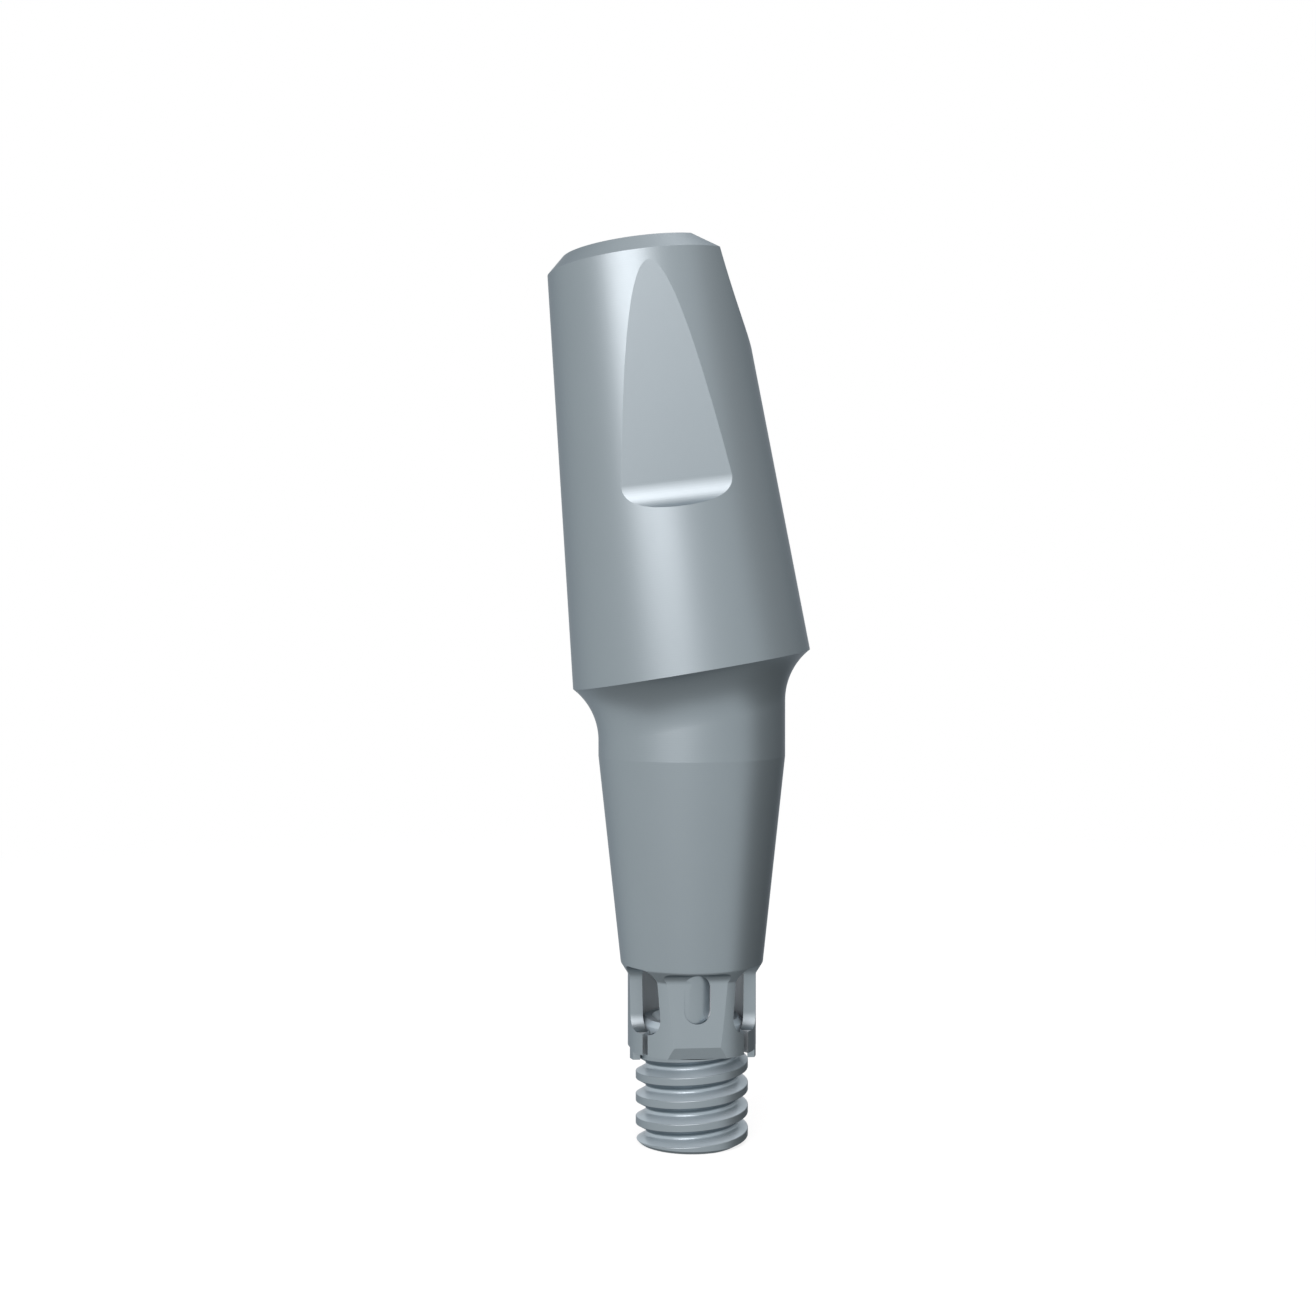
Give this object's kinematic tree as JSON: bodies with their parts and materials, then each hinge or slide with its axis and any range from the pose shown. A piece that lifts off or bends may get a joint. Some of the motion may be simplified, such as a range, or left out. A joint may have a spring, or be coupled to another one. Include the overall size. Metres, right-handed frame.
{
  "type": "angled dental abutment with captive screw",
  "caption": "Angled titanium dental abutment: conical post with flat and flared neck above an implant cone, slotted index crown and captive fixing screw.",
  "frame": {"origin": "on the implant axis at the wide end of the implant cone, where the neck begins", "axes": "+Z along the implant axis, out of the implant; -Y is the side of the front flat and of the front pillar; the post leans towards -X"},
  "size_m": [0.004, 0.0036, 0.0135],
  "materials": {
    "body_titanium": "satin machined titanium",
    "screw_titanium": "satin machined titanium"
  },
  "bodies": {
    "body": {"abutment_body": "body_titanium"},
    "screw": {"abutment_screw": "screw_titanium"}
  },
  "joints": [
    {"name": "screw_spin", "type": "hinge", "parent": "body", "child": "screw", "pos_m": [0, 0, -0.00425], "axis": [0, 0, 1], "continuous": true}
  ]
}
